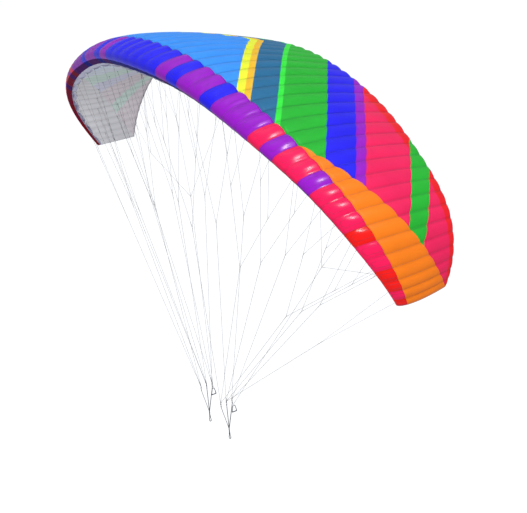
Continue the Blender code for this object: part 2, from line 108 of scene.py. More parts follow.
def mottledMaterial(name, colour, roughness, kind, settings, shades):
    # a finish shaded between two shares by a pattern on the object's place
    mat, add, shader = startMaterial(name, colour, roughness)
    place = add("ShaderNodeTexCoord").outputs["Object"]
    pattern = add(kind, {**settings, "Vector": place}).outputs["Fac"]
    shade = add("ShaderNodeMapRange", {"To Min": shades[0], "To Max": shades[1], "Value": pattern})
    tinted = add("ShaderNodeVectorMath", {
        "operation": "SCALE", 0: linearColour(colour)[:3], "Scale": shade})
    add(shader, {"Base Color": tinted})
    return mat, add, shader, pattern


# the wing's rule
def splineThrough(knots, values, x):
    # a cubic through the knots: level at 0, free at 1
    knots, values = np.array(knots), np.array(values)
    count = len(knots)
    rows, right = np.zeros((count, count)), np.zeros(count)
    step = np.diff(knots)
    slope = np.diff(values) / step
    rows[0, 0], rows[0, 1], right[0] = 2 * step[0], step[0], 6 * slope[0]
    rows[-1, -1] = 1.0
    for i in range(1, count - 1):
        rows[i, i - 1:i + 2] = step[i - 1], 2 * (step[i - 1] + step[i]), step[i]
        right[i] = 6 * (slope[i] - slope[i - 1])
    bend = np.linalg.solve(rows, right)
    x = np.asarray(x, float)
    i = np.clip(np.searchsorted(knots, x) - 1, 0, count - 2)
    h = knots[i + 1] - knots[i]
    a, b = (knots[i + 1] - x) / h, (x - knots[i]) / h
    return (a * values[i] + b * values[i + 1]
            + ((a ** 3 - a) * bend[i] + (b ** 3 - b) * bend[i + 1]) * h * h / 6)


gridSteps = 400
shareGrid = np.linspace(0.0, 1.0, gridSteps + 1)


def runningSum(values):
    return np.concatenate([[0.0], np.cumsum((values[1:] + values[:-1]) / 2 / gridSteps)])


arcRoll = runningSum(splineThrough(canopy["knots"], canopy["arcTurn"], shareGrid))
arcAcross = runningSum(np.cos(arcRoll)) * halfSpan
arcDrop = runningSum(np.sin(arcRoll)) * halfSpan
ribShare = runningSum(splineThrough(canopy["ribKnots"], canopy["cellWidth"], shareGrid))
ribShare /= ribShare[-1]


def spanShare(rib):
    return np.interp(np.abs(rib) / cells, shareGrid, ribShare)


def ribAt(spanPlace):
    share = np.interp(np.abs(spanPlace) / halfSpan, ribShare, shareGrid)
    return np.sign(spanPlace) * share * cells


def cellWidthAt(rib):
    low = np.minimum(np.floor(np.abs(rib)), cells - 1)
    return (spanShare(low + 1) - spanShare(low)) * halfSpan


def chordAt(rib):
    return splineThrough(canopy["knots"], canopy["chord"], spanShare(rib))


def sweepAt(rib):
    return splineThrough(canopy["knots"], canopy["sweep"], spanShare(rib))


def ribFrame(rib):
    # nose point, chord direction, outward normal and chord, for one rib or many
    rib = np.asarray(rib, float)
    share, side = spanShare(rib), np.where(rib < 0, -1.0, 1.0)
    roll = np.interp(share, shareGrid, arcRoll)
    out = np.stack([np.sin(roll) * side, 0 * roll, np.cos(roll)], -1)
    back = np.array((0.0, 1.0, 0.0))
    angle = (canopy["rigAngle"] + canopy["tipTwist"] * share ** 2)[..., None]
    chordWay = back * np.cos(angle) + out * np.sin(angle)
    normal = out * np.cos(angle) - back * np.sin(angle)
    nose = np.stack([
        np.interp(share, shareGrid, arcAcross) * side, canopy["noseSetback"] + sweepAt(rib),
        canopy["height"] - np.interp(share, shareGrid, arcDrop)], -1)
    return nose, chordWay, normal, chordAt(rib)


def halfDepthAt(station, chord):
    x = np.abs(station)
    root, one, two, three, four = canopy["sectionForm"]
    form = root * np.sqrt(x) + one * x + two * x ** 2 + three * x ** 3 + four * x ** 4
    return 5 * canopy["thickness"] * form * chord + canopy["trailingHalf"] * x


def sectionAt(turn, chord):
    # turn is the signed root of the station: below 0 it runs along the underside
    x = turn ** 2
    depth, place, width = canopy["chin"]
    belly = np.where(turn < 0, 1 + depth * np.exp(-((x - place) / width) ** 2), 1.0)
    return x * chord, np.sign(turn) * halfDepthAt(x, chord) * belly


def wingPoint(rib, turn, lift=0.0):
    # a point of the rib's outline, lifted off it, and the way outward there
    nose, chordWay, normal, chord = ribFrame(rib)
    turn = np.asarray(turn, float)
    back, up = sectionAt(turn, chord)
    step = 0.004  # of the turn, each way, to find the slope
    before, beforeUp = sectionAt(np.maximum(turn - step, -1.0), chord)
    after, afterUp = sectionAt(np.minimum(turn + step, 1.0), chord)
    run, rise = after - before, afterUp - beforeUp
    size = np.hypot(run, rise)
    outward = chordWay * (-rise / size)[..., None] + normal * (run / size)[..., None]
    point = nose + chordWay * back[..., None] + normal * up[..., None]
    return point + outward * lift, outward


def turnOf(station):
    return np.sign(station) * np.sqrt(np.abs(station))


lipTurn, seamTurn = turnOf(-canopy["lip"]), turnOf(canopy["noseSeam"])


def cellPlace(rib):
    return np.abs(rib) % 1


def billowReach(rib, turn):
    # how far a cell swells outward here; at the rear both sails rise together
    place, station = cellPlace(rib), turn ** 2
    lip, top, hair = canopy["lipBulge"], canopy["upperBulge"], 1e-6
    over = np.clip(turn / seamTurn, 0, 1)
    amount = np.where(turn < lipTurn - hair, canopy["lowerBulge"],
                      lip + (top - lip) * over ** 2 * (3 - 2 * over))
    rear = np.clip((station - canopy["rearStart"]) / (1 - canopy["rearStart"]), 0, 1)
    amount = amount + (np.where(turn < 0, -1, 1) * canopy["rearBulge"] - amount) * rear
    return amount * cellWidthAt(rib) * 4 * place * (1 - place)


def seamDistance(rib):
    place = cellPlace(rib)
    return np.minimum(place, 1 - place) * cellWidthAt(rib)


def mouthFront(rib):
    # front edge of the lower sail, drawn back over each two cells
    place = (np.abs(rib) % 2) / 2
    mouth = canopy["mouthDepth"] * np.sqrt(np.maximum(0.0, 1 - (2 * place - 1) ** 2))
    return canopy["lip"] + mouth + 2 * canopy["seamGap"] / chordAt(rib)


# making meshes
def linkObject(name, data):
    obj = bpy.data.objects.new(name, data)
    bpy.context.scene.collection.objects.link(obj)
    return obj


def newMesh(name, points, edges=(), faces=()):
    mesh = bpy.data.meshes.new(name)
    mesh.from_pydata(points, edges, faces)
    return mesh


def ringMesh(name, rings):
    # closed outlines in one plane, the outer one first
    points, edges = [], []
    for ring in rings:
        first, count = len(points), len(ring)
        points += [(x, y, 0.0) for x, y in ring]
        edges += [(first + i, first + (i + 1) % count) for i in range(count)]
    return newMesh(name, points, edges)


def setPointValues(mesh, name, values):
    # one number a point, or three where they are directions
    values = np.asarray(values, np.float32)
    kind, field = ("FLOAT_VECTOR", "vector") if values.ndim == 2 else ("FLOAT", "value")
    mesh.attributes.new(name, kind, "POINT").data.foreach_set(field, values.ravel())


def pathMesh(name, paths, girths=None):
    # many open paths as one mesh of edges, of even girth where none is given
    points, edges = [], []
    for path in paths:
        edges += [(len(points) + i, len(points) + i + 1) for i in range(len(path) - 1)]
        points += [tuple(point) for point in path]
    mesh = newMesh(name, points, edges)
    setPointValues(mesh, "girth", np.concatenate(girths) if girths else np.ones(len(points)))
    return mesh


def setUv(mesh, name, places):
    layer = mesh.uv_layers.new(name=name)
    corner = np.empty(len(mesh.loops), np.int32)
    mesh.loops.foreach_get("vertex_index", corner)
    layer.data.foreach_set("uv", np.asarray(places, np.float32)[corner].ravel())


def startTree(name, inputs):
    # an input without a number takes the material
    tree = bpy.data.node_groups.new(name, "GeometryNodeTree")
    for way in ("INPUT", "OUTPUT"):
        tree.interface.new_socket("Geometry", in_out=way, socket_type="NodeSocketGeometry")
    kinds = {int: "NodeSocketInt", float: "NodeSocketFloat", type(None): "NodeSocketMaterial"}
    for label, value in inputs.items():
        socket = tree.interface.new_socket(label, in_out="INPUT", socket_type=kinds[type(value)])
        if value is not None:
            socket.default_value = value
    add = partial(addNode, tree)
    return add, add("NodeGroupInput").outputs


def endTree(add, shape, materials, smooth=True):
    # the last steps of every tree: real geometry, then one material or one a kind of panel
    if smooth:
        shape = add("GeometryNodeSetShadeSmooth", {0: shape})
    flow = add("GeometryNodeRealizeInstances", {"Geometry": shape})
    if isinstance(materials, list):
        kind = add("GeometryNodeInputNamedAttribute", {"data_type": "INT", "Name": "panelColour"})
        for number, mat in enumerate(materials):
            chosen = add("FunctionNodeCompare", {
                "data_type": "INT", "operation": "EQUAL", 3: number, 2: kind})
            flow = add("GeometryNodeSetMaterial", {
                "Material": mat, "Geometry": flow, "Selection": chosen})
    else:
        flow = add("GeometryNodeSetMaterial", {"Geometry": flow, "Material": materials})
    return add("NodeGroupOutput", {"Geometry": flow}).id_data


polyFillet = {"mode": "POLY", "Limit Radius": True}  # to round a curve's corners


def fillTree(name, inputs):
    # fills an outline, leaving its inner rings open, with rounded corners where asked
    add, given = startTree(name, {**inputs, "Material": None})
    rings = add("GeometryNodeMeshToCurve", {"Mesh": given["Geometry"]})
    if "Rounding" in inputs:
        rings = add("GeometryNodeFilletCurve", {
            **polyFillet, "Count": 6, "Curve": rings, "Radius": given["Rounding"]})
    filled = add("GeometryNodeFillCurve", {"Curve": rings})
    return endTree(add, filled, given["Material"], False)


def sweepTree(name, inputs):
    # a circle, or a soft edged band where it has a width, along every edge path, times the
    # girth of each point
    add, given = startTree(name, inputs)
    if "Width" in inputs:
        flat = add("GeometryNodeCurvePrimitiveQuadrilateral", {
            "Width": given["Width"], "Height": given["Thickness"]})
        profile = add("GeometryNodeFilletCurve", {
            **polyFillet, "Count": 2, "Curve": flat, "Radius": given["Edge"]})
    else:
        profile = add("GeometryNodeCurvePrimitiveCircle", {
            "Resolution": given["Sides"], "Radius": given["Radius"]})
    path = add("GeometryNodeMeshToCurve", {"Mesh": given["Geometry"]})
    girth = add("GeometryNodeInputNamedAttribute", {"Name": "girth"})
    skin = add("GeometryNodeCurveToMesh", {
        "Fill Caps": True, "Curve": path, "Profile Curve": profile, "Scale": girth})
    return endTree(add, skin, given["Material"])


def grow(name, mesh, tree, values, thickness=0.0):
    # what the tree makes of the mesh, with values unlike its own, as a plain mesh
    base = linkObject(name + "Base", mesh)
    modifier = base.modifiers.new("rule", "NODES")
    modifier.node_group = tree
    for item in tree.interface.items_tree:
        if item.in_out == "INPUT" and item.name in values:
            modifier[item.identifier] = values[item.name]
    if thickness:
        skin = base.modifiers.new("cloth", "SOLIDIFY")
        skin.thickness, skin.offset, skin.use_even_offset = thickness, -1.0, True
    depsgraph = bpy.context.evaluated_depsgraph_get()
    grown = bpy.data.meshes.new_from_object(
        base.evaluated_get(depsgraph), preserve_all_data_layers=True, depsgraph=depsgraph)
    bpy.data.objects.remove(base)
    grown.name = name
    return linkObject(name, grown)


def fit(piece, slot, *nodes):
    # rides on the one body, and stands for the nodes named
    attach(piece, "root")
    if nodes:
        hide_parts(*nodes)
    return piece


cordRule = sweepTree("cordAlongPaths", {"Radius": 0.001, "Sides": 8, "Material": None})


def cordPiece(name, paths, radius, material, slot, sides=6, girths=None, nodes=()):
    piece = grow(name, pathMesh(name, paths, girths), cordRule, {
        "Radius": radius, "Sides": sides, "Material": material})
    print(name, len(piece.data.polygons), "faces")
    return fit(piece, slot, *nodes)


# cloth
def ripstopNylon(name, colour, roughness=0.42, puckers=0.0030, gloss=0.1, valley=(0.030, 0.86)):
    # ripstop nylon 6.6, woven, coated and calendered: satin colour, soft puckers at its seams;
    # its own 5 mm grid is far finer than what shows, so only puckers and a fine mottle are drawn;
    # valley is how far the shade of a seam reaches, and its darkest share
    mat, add, shader = startMaterial(name, colour, roughness, {
        "IOR": 1.53, "Specular IOR Level": gloss})
    cloth = add("ShaderNodeUVMap", {"uv_map": "clothMetres"})
    seam = add("ShaderNodeAttribute", {"attribute_name": "seamDistance"}).outputs["Fac"]
    mottle = add("ShaderNodeTexNoise", {
        "Scale": 2.3, "Detail": 3.0, "Roughness": 0.55, "Vector": cloth}).outputs["Fac"]
    shade = add("ShaderNodeMapRange", {
        "From Min": 0.25, "From Max": 0.75, "To Min": 0.95, "To Max": 1.05, "Value": mottle})
    stitched = add("ShaderNodeMapRange", {
        "From Min": 0.002, "From Max": valley[0], "To Min": valley[1], "Value": seam})
    both = add("ShaderNodeMath", {"operation": "MULTIPLY", 0: shade, 1: stitched})
    tinted = add("ShaderNodeVectorMath", {
        "operation": "SCALE", 0: linearColour(colour)[:3], "Scale": both})
    add(shader, {"Base Color": tinted})
    # puckers run away from the seam, 60 to 90 mm apart along it, and die out within 110 mm
    stretched = add("ShaderNodeVectorMath", {
        "operation": "MULTIPLY", 1: (3.5, 14.0, 1.0), 0: cloth})
    folds = add("ShaderNodeTexNoise", {"Scale": 1.0, "Vector": stretched}).outputs["Fac"]
    near = add("ShaderNodeMapRange", {
        "From Max": 0.11, "To Min": 1.0, "To Max": 0.12, "Value": seam})
    height = add("ShaderNodeMath", {"operation": "MULTIPLY", 0: folds, 1: near})
    bump = add("ShaderNodeBump", {"Strength": 0.8, "Distance": puckers, "Height": height})
    add(shader, {"Normal": bump})
    return mat


def clothSet(kind, colours, finish):
    return [ripstopNylon(kind + " " + name, code, **finish) for name, code in colours.items()]


def billowTree(name, materials):
    # swells each cell outward between its ribs, with the slight slackness of sewn cloth
    add, given = startTree(name, {"Slack": 0.003, "Seed": 7})
    reach = add("GeometryNodeInputNamedAttribute", {"Name": "reach"})
    outward = add("GeometryNodeInputNamedAttribute", {
        "data_type": "FLOAT_VECTOR", "Name": "outward"})
    ripple = add("ShaderNodeTexNoise", {"noise_dimensions": "4D", "Scale": 5.0, "W": given["Seed"]})
    level = add("ShaderNodeMath", {"operation": "SUBTRACT", 1: 0.5, 0: ripple})
    # slack only away from the seams: 25 mm of swell and more is a cell's middle
    mask = add("ShaderNodeMath", {"operation": "MULTIPLY", 1: 40.0, "use_clamp": True, 0: reach})
    slack = add("ShaderNodeMath", {"operation": "MULTIPLY", 0: given["Slack"], 1: mask})
    total = add("ShaderNodeMath", {"operation": "MULTIPLY_ADD", 0: level, 1: slack, 2: reach})
    offset = add("ShaderNodeVectorMath", {"operation": "SCALE", 0: outward, "Scale": total})
    moved = add("GeometryNodeSetPosition", {"Geometry": given["Geometry"], "Offset": offset})
    return endTree(add, moved, materials)


def gridOf(columns, rows):
    # faces of a grid whose points are numbered row by row within each column
    return [(c * rows + r, (c + 1) * rows + r, (c + 1) * rows + r + 1, c * rows + r + 1)
            for c in range(columns - 1) for r in range(rows - 1)]


# the cloth's coated inner side: pale, dull, plain, with the daylight that comes through it
innerCoat = startMaterial("pale inner coating", "#B4B5C9", 0.7, {
    "Specular IOR Level": 0.2, "Emission Color": linearColour("#CFCDE2"),
    "Emission Strength": 0.2})[0]
# how a sail lies on its unit map: the outer side above a strip of the inner side
sailMap = {
    "corner": (0.004, 0.034), "size": (0.992, 0.962), "innerLow": 0.004, "innerHeight": 0.022,
    "noseWrap": 0.16}  # metres that the round nose adds


def coatInside(sail, count):
    # the faces that Solidify adds after the first ones are the inner side
    data = sail.data
    data.materials.append(innerCoat)
    places = data.uv_layers["OFBake"].data
    for face in data.polygons[count:2 * count]:
        face.material_index = len(data.materials) - 1
        for corner in face.loop_indices:
            place = places[corner].uv
            place.y = sailMap["innerLow"] + sailMap["innerHeight"] * place.y


def makeSail(name, rib, turn, faces, panels, cloths, design, slot, *nodes):
    # cloth on the ribs' outline, that the tree swells and Solidify thickens
    point, outward = wingPoint(rib, turn)
    mesh = newMesh(name, point.tolist(), faces=faces)
    setPointValues(mesh, "outward", outward)
    setPointValues(mesh, "reach", billowReach(rib, turn))
    setPointValues(mesh, "seamDistance", seamDistance(rib))
    mesh.attributes.new("panelColour", "INT", "FACE").data.foreach_set("value", panels)
    along = spanShare(rib) * halfSpan * np.sign(rib)
    around = np.sign(turn) * turn ** 2 * chordAt(rib) + turn * sailMap["noseWrap"]
    setUv(mesh, "clothMetres", np.stack([along, around], -1))
    rise = (around - around.min()) / np.ptp(around)
    unit = np.stack([along / canopy["flatSpan"] + 0.5, rise], -1)
    setUv(mesh, "OFBake", unit * sailMap["size"] + sailMap["corner"])
    sail = grow(name, mesh, billowTree(name + "Billow", cloths), {"Slack": design["slack"]},
                canopy["clothThickness"])
    coatInside(sail, len(faces))
    fit(sail, slot, *nodes)


def ribName(number):
    side = "right" if number > 0 else "left"
    return "rib_%s_%02d" % (side, abs(number)) if number else "rib_centre"


# upper sail: sky blue in the middle, and straight slanting bands on both sides of it
upper = {
    "girth": 2.36,  # of the flat cloth, from seam to trailing edge
    "slant": 1.4,  # metres of span that a band moves for each metre of chord
    "bands": (
        (2.85, "skyBlue"), (3.03, "lemon"), (3.18, "golden"), (3.75, "teal"),
        (3.87, "brightGreen"), (4.85, "green"), (5.50, "royalBlue"), (5.72, "purple"),
        (6.75, "pinkRed"), (7.20, "green"), (99.0, "pinkRed")),
    "wedgeFrom": 13.0,  # rib where the tip's wedge starts, at the nose seam
    "wedge": "orange",
    "border": ("pinkRed", "red", 0.93),  # a band, its border, and where the border starts
    "columnsACell": 10,
    "rows": 31,  # from this far behind the seam, up to the rear stations
    "seamStep": 0.0004,
    "rearStations": (0.93, 0.95, 0.965, 0.98, 0.99, 1.0),
    "weld": 0.0004,  # a cut this close to a point goes through it
    "slack": 0.005,
}
upperColours = {
    "skyBlue": "#3A93F6", "lemon": "#E8F23A", "golden": "#F0BE34", "teal": "#2A6C98",
    "brightGreen": "#38E444", "green": "#28B236", "royalBlue": "#2824EA", "purple": "#9620C4",
    "pinkRed": "#EC265E", "orange": "#F47F1E", "red": "#EA2028"}
upperNames = list(upperColours)


def planPlace(rib, station):
    # across and behind, in metres, on the sail laid flat
    return spanShare(rib) * halfSpan * np.sign(rib), sweepAt(rib) + station * chordAt(rib)


wedgeLow = np.array(planPlace(upper["wedgeFrom"], canopy["noseSeam"]))
wedgeTurn = np.array(planPlace(float(cells), 1.0)) - wedgeLow


def bandAt(bands, wedge, across, behind):
    # name of the slanting band over a place of the flat sail
    shift = abs(across) + upper["slant"] * behind
    beyond = (abs(across) - wedgeLow[0]) * wedgeTurn[1] > (behind - wedgeLow[1]) * wedgeTurn[0]
    return wedge if beyond else next(name for limit, name in bands if shift < limit)


def upperPanel(across, behind):
    rib = ribAt(across)
    station = (behind - sweepAt(rib)) / chordAt(rib)
    name = bandAt(upper["bands"], upper["wedge"], across, behind)
    inner, border, start = upper["border"]
    return upperNames.index(border if name == inner and station > start else name)


columns = np.linspace(-cells, cells, 2 * cells * upper["columnsACell"] + 1)
rear = upper["rearStations"]
front = canopy["noseSeam"] + upper["seamStep"]
stations = np.concatenate([np.linspace(front, rear[0], upper["rows"]), rear[1:]])
across, behind = planPlace(*np.meshgrid(columns, stations, indexing="ij"))
flatSail = bmesh.new()
corners = [flatSail.verts.new((x, y, 0.0)) for x, y in zip(across.ravel(), behind.ravel())]
for face in gridOf(len(columns), len(stations)):
    flatSail.faces.new([corners[i] for i in face])
# the flat cloth is cut along every band's edge, on both halves
cuts = [(limit, 0, 1, upper["slant"]) for limit, name in upper["bands"][:-1]]
cuts.append((*wedgeLow, wedgeTurn[1], -wedgeTurn[0]))
for side in (1, -1):
    for x, y, wayX, wayY in cuts:
        half = [f for f in flatSail.faces if side * f.calc_center_median().x > 0]
        rim = {part for f in half for part in (*f.edges, *f.verts)}
        half += sorted(rim, key=lambda p: (len(p.link_faces), p.index))
        bmesh.ops.bisect_plane(flatSail, geom=half, dist=upper["weld"], plane_co=(side * x, y, 0),
                               plane_no=(side * wayX, wayY, 0))
flatSail.verts.index_update()
flatPoints = np.array([v.co[:2] for v in flatSail.verts])
faces = [[v.index for v in f.verts] for f in flatSail.faces]
panels = [upperPanel(*f.calc_center_median()[:2]) for f in flatSail.faces]
flatSail.free()
rib = np.clip(ribAt(flatPoints[:, 0]), -cells, cells)
station = np.clip((flatPoints[:, 1] - sweepAt(rib)) / chordAt(rib), canopy["noseSeam"], 1.0)
cloths = clothSet("ripstop nylon", upperColours, {})
makeSail("upperSail", rib, np.sqrt(station), faces, panels, cloths, upper, "upper_sail",
         "upper_sail_front", "upper_sail_rear")

# nose panels: one plain colour a cell, turned under to a dark lip
noseDesign = {
    "girth": 0.86,
    "order": "BBBPBPPBPPPKPKKPKKKRKKRRKR",  # from the middle cell outward, on both sides
    "colours": {"B": "#2521F0", "P": "#961AC6", "K": "#F41C5A", "R": "#F01C1A"},
    "finish": {"roughness": 0.27, "puckers": 0.0006, "gloss": 0.15},
    "lips": {"B": "#0D1182", "P": "#470C66", "K": "#760A2E", "R": "#7A0A1A"},
    "lipFinish": {"roughness": 0.5, "puckers": 0.002, "gloss": 0.03},
    "lipFrom": ((9.0, 15.0), (0.012, 0.002)),  # ribs, and where the dark lip starts there
    "lipRows": 8,
    "rows": 34,
    "columnsACell": 10,
    "slack": 0.001,
}
cloths = clothSet("coated nose nylon", noseDesign["colours"], noseDesign["finish"])
cloths += clothSet("film backed lip nylon", noseDesign["lips"], noseDesign["lipFinish"])
columns = np.linspace(-cells, cells, 2 * cells * noseDesign["columnsACell"] + 1)
lipTop = turnOf(-np.interp(np.abs(columns), *noseDesign["lipFrom"]))
lipRows, level = noseDesign["lipRows"], np.ones_like(columns)
turns = np.concatenate([
    np.linspace(lipTurn * level, lipTop, lipRows + 1)[:-1],
    np.linspace(lipTop, seamTurn * level, noseDesign["rows"])])
rows = len(turns)
turns, ribs = turns.T.ravel(), np.repeat(columns, rows)
faces = gridOf(len(columns), rows)
noseKeys, panels = list(noseDesign["colours"]), []
for face in faces:
    key = noseKeys.index(noseDesign["order"][int(abs(ribs[list(face)].mean()))])
    panels.append(key + len(noseKeys) if face[0] % rows < lipRows else key)
nosePlaces = ("left_tip", "left", "centre", "right", "right_tip")
makeSail("nosePanels", ribs, turns, faces, panels, cloths, noseDesign, "nose_cloth",
         *("nose_panels_" + place for place in nosePlaces))

# lower sail: pale, with the upper colours just showing through
lower = {
    "girth": 2.60,
    "colours": {"sky": "#DBE8FA", "grey": "#DCE4F2", "green": "#D3E7E2", "lilac": "#DADBF0",
                "rose": "#E2DAE2", "warm": "#E0E0E6"},
    "finish": {"roughness": 0.5, "valley": (0.070, 0.87)},
    "tints": ((2.9, "sky"), (3.75, "grey"), (4.85, "green"), (5.7, "lilac"), (6.75, "rose"),
              (7.25, "green"), (99.0, "rose")),
    "wedge": "warm",
    "places": (0.0, 0.02, 0.07, 0.15, 0.26, 0.38, 0.5, 0.62, 0.74, 0.85, 0.93, 0.98),
    "rows": 30,
    "crowding": 1.35,  # rows stand closer toward the mouths
    "slack": 0.005,
}
lowerNames = list(lower["colours"])
wholeSpan = np.array([c + p for c in range(-cells, cells) for p in lower["places"]] + [cells])
rowShare = np.linspace(0.0, 1.0, lower["rows"]) ** lower["crowding"]
front = mouthFront(wholeSpan)
stations = (front[:, None] + (1 - front[:, None]) * rowShare)[:, ::-1]
ribs, turns = np.repeat(wholeSpan, len(rowShare)), -np.sqrt(stations.ravel())
faces = gridOf(len(wholeSpan), len(rowShare))
panels = []
for face in faces:
    place = planPlace(ribs[list(face)].mean(), (turns[list(face)] ** 2).mean())
    panels.append(lowerNames.index(bandAt(lower["tints"], lower["wedge"], *place)))
cloths = clothSet("pale ripstop nylon", lower["colours"], lower["finish"])
makeSail("lowerSail", ribs, turns, faces, panels, cloths, lower, "lower_sail",
         *("lower_sail_" + place for place in (*nosePlaces, "rear")))

# ribs: flat cloth with round ports, the odd ones cut back behind the intakes
ribDesign = {
    "thickness": 0.0009,
    "ends": 0.975,  # station where a rib stops short of the trailing edge
    # centre station, half length in chords, half height in rib heights
    "ports": ((0.27, 0.050, 0.42), (0.47, 0.050, 0.42), (0.66, 0.034, 0.38)),
    "notch": 0.030,  # depth of the intake cut, in chords
    "outlinePoints": 96,
    "portPoints": 28,
}
# white ripstop nylon with a hard resin finish: dull, slightly lilac where light comes through
ribCloth = mottledMaterial("hard finished rib nylon", "#DADBE8", 0.6, "ShaderNodeTexNoise",
                           {"Scale": 3.0}, (0.93, 1.05))[0]
ribFill = fillTree("ribFill", {})


def makeRib(number):
    nose, chordWay, normal, chord = ribFrame(float(number))
    reach = math.sqrt(ribDesign["ends"])
    turns = np.linspace(-reach, reach, ribDesign["outlinePoints"])
    outline, outward = wingPoint(np.full(len(turns), float(number)), turns)
    inset = np.full(len(turns), canopy["ribInset"])
    if number % 2:
        share = (turns ** 2 - canopy["lip"]) / canopy["mouthDepth"]
        inMouth = (turns < 0) & (share > 0) & (share < 1)
        inset[inMouth] += ribDesign["notch"] * chord * np.sin(np.pi * share[inMouth])
    outline = outline - outward * inset[:, None] - nose
    rings = [np.stack([outline @ chordWay, outline @ normal], -1)]
    spin = np.linspace(0, 2 * np.pi, ribDesign["portPoints"], endpoint=False)
    for centre, halfLength, halfHeight in ribDesign["ports"] if abs(number) < cells else ():
        high = halfHeight * halfDepthAt(centre, chord)
        along = (centre + halfLength * np.cos(spin)) * chord
        rings.append(np.stack([along, high * np.sin(spin)], -1))
    word = ("Right%02d" if number > 0 else "Left%02d") % abs(number) if number else "Middle"
    rib = grow("ribCloth" + word, ringMesh("ribOutline", rings), ribFill, {"Material": ribCloth})
    along, up = Vector(chordWay), Vector(normal)
    turned = Matrix((along, up, along.cross(up))).transposed().to_4x4()
    rib.data.transform(Matrix.Translation(nose) @ turned)
    skin = rib.modifiers.new("cloth", "SOLIDIFY")
    skin.thickness, skin.offset = ribDesign["thickness"], 0.0
    fit(rib, "rib_cloth", *([] if number % 2 else [ribName(number)]))


for number in range(-cells, cells + 1):
    makeRib(number)
print(2 * cells + 1, "ribs made")

# seams, hems and tapes
seams = {
    "radius": 0.0006, "lift": 0.0004, "sides": 5, "abovePoints": 44, "belowPoints": 24,
    "belowEnds": (0.002, 0.998), "hemRadius": 0.0019, "tapeRadius": 0.0034, "tipPoints": 60}
pockets = {
    "radius": 0.0010, "lift": 0.0005, "places": (0.27, 0.73), "front": 0.014, "back": 0.006,
    "bend": (0.05, 0.04), "bendPoints": 13, "legPoints": 9}
seamThread = startMaterial("bonded polyester seam thread", "#2B2F4A", 0.7)[0]  # dark, matt
hemTape = startMaterial("polyester hem tape", "#8C93A6", 0.7)[0]  # rolled, pale grey, matt
paleTape = startMaterial("white polyester tape", "#C3C8D6", 0.8)[0]  # narrow, dull
seamFold = startMaterial("folded seam edge", "#585B72", 0.8)[0]  # mixed cloth colours with thread


def surfacePath(ribs, turns, lift=0.0):
    # a path on the swollen cloth, lifted off it
    ribs, turns = np.broadcast_arrays(np.asarray(ribs, float), np.asarray(turns, float))
    point, outward = wingPoint(ribs, turns)
    return point + outward * (billowReach(ribs, turns) + lift)[..., None]


def pocketPath(cell):
    # a rod pocket: two legs from the top seam, joined by a round end near the nose
    left, right = pockets["places"]
    top, low = seamTurn - pockets["back"], turnOf(pockets["front"])
    reach, bulge = pockets["bend"]
    spin, count = np.linspace(0, np.pi, pockets["bendPoints"]), pockets["legPoints"]
    halfWay, middle = (right - left) / 2, (left + right) / 2
    place = np.concatenate([[left] * count, middle - halfWay * np.cos(spin), [right] * count])
    leg = np.linspace(top, low + reach, count)
    turn = np.concatenate([leg, low + bulge * (1 - np.sin(spin)), leg[::-1]])
    ribs = cell + place if cell >= 0 else cell + 1 - place
    return surfacePath(ribs, turn, pockets["lift"])


innerRibs, lift = range(1 - cells, cells), seams["lift"]
above = np.linspace(lipTurn, 1.0, seams["abovePoints"])
cordPiece("cellSeamsAbove", [surfacePath(n, above, lift) for n in innerRibs],
          seams["radius"], seamFold, "nose_cloth", seams["sides"])
start, end = seams["belowEnds"]
fronts = mouthFront(np.array(innerRibs, float)) + start
below = [-np.sqrt(np.linspace(front, end, seams["belowPoints"])) for front in fronts]
cordPiece("cellSeamsBelow", [surfacePath(n, turns, lift) for n, turns in zip(innerRibs, below)],
          seams["radius"], paleTape, "lower_sail", seams["sides"])
pocketPaths = [pocketPath(cell) for cell in range(-cells, cells)]
cordPiece("rodPocketSeams", pocketPaths, pockets["radius"], seamThread, "nose_cloth")
hems = [surfacePath(wholeSpan, turns) for turns in (lipTurn, -np.sqrt(mouthFront(wholeSpan)))]
cordPiece("mouthHems", hems, seams["hemRadius"], paleTape, "lower_sail")
rearEdge = (surfacePath(wholeSpan, 1.0) + surfacePath(wholeSpan, -1.0)) / 2
cordPiece("trailingTape", [rearEdge], seams["tapeRadius"], hemTape, "lower_sail")
tipTurns = np.linspace(-1.0, 1.0, seams["tipPoints"])
hems = [surfacePath(side * float(cells), tipTurns) for side in (-1, 1)]
cordPiece("tipHems", hems, seams["hemRadius"], hemTape, "lower_sail")

# lines: cascades from the links and the brake handles up to the ribs
lines = {
    "rows": {"A": 0.085, "B": 0.32, "C": 0.60},  # stations where they meet the sail
    "fans": ((0, 2, 4, 6), (8, 10, 12, 14), (16, 18, 20, 22)),
    "tipRibs": (24, 26), "tipStation": 0.30,
    "brakePairs": ((4, 8), (12, 16), (20, 24)), "brakeStation": 0.985,
    "middleShift": 0.0025,  # the middle rib's lines, each to its own side
    "knots": (0.60, 0.83),  # shares of the way up from the link
    "radii": (0.0018, 0.0015, 0.0012),  # main, middle and upper lines
    "sides": 7,
    "sewn": 0.09, "sewnTaper": 0.85, "sewnGirth": 1.5,  # doubled back and sewn at both ends
    "pitch": 0.0048,  # between the lines on one link
    "eye": 0.0046, "eyeTurn": (65, -245), "eyePoints": 14, "throat": 0.030,  # round a bar
}
tabs = {
    "tape": {"Width": 0.010, "Drop": 0.014, "Loop": 0.006, "Tape": 0.001}, "sewnIn": 0.002,
    "overLine": 0.003}
